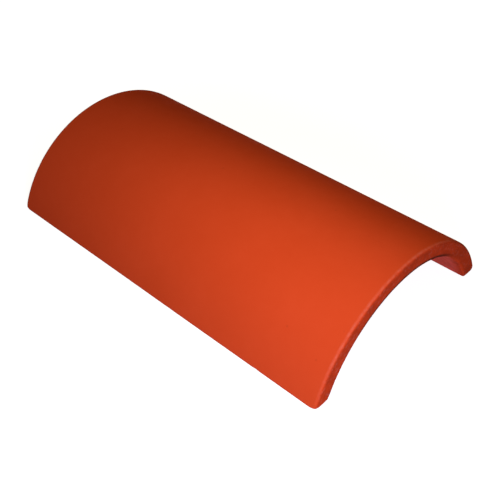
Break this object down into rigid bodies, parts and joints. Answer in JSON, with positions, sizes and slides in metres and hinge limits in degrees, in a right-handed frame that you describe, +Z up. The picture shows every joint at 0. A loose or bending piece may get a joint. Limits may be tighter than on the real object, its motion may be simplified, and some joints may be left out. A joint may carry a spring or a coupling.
{
  "type": "segmental ridge tile",
  "caption": "Segmental ridge tile: a plain arched cap of cast concrete with level-cut legs, an open vault below and square butt ends, in a smooth terracotta coat.",
  "frame": {"origin": "on the bed plane under the level-cut feet, below the middle of the crown", "axes": "+X along the ridge, end to end; Y across the tile from leg to leg; +Z up through the crown"},
  "size_m": [0.457, 0.2692, 0.096],
  "materials": {
    "terracotta_coated_concrete": "smooth satin coat"
  },
  "bodies": {
    "root": {"ridge_tile": "terracotta_coated_concrete"}
  },
  "joints": []
}
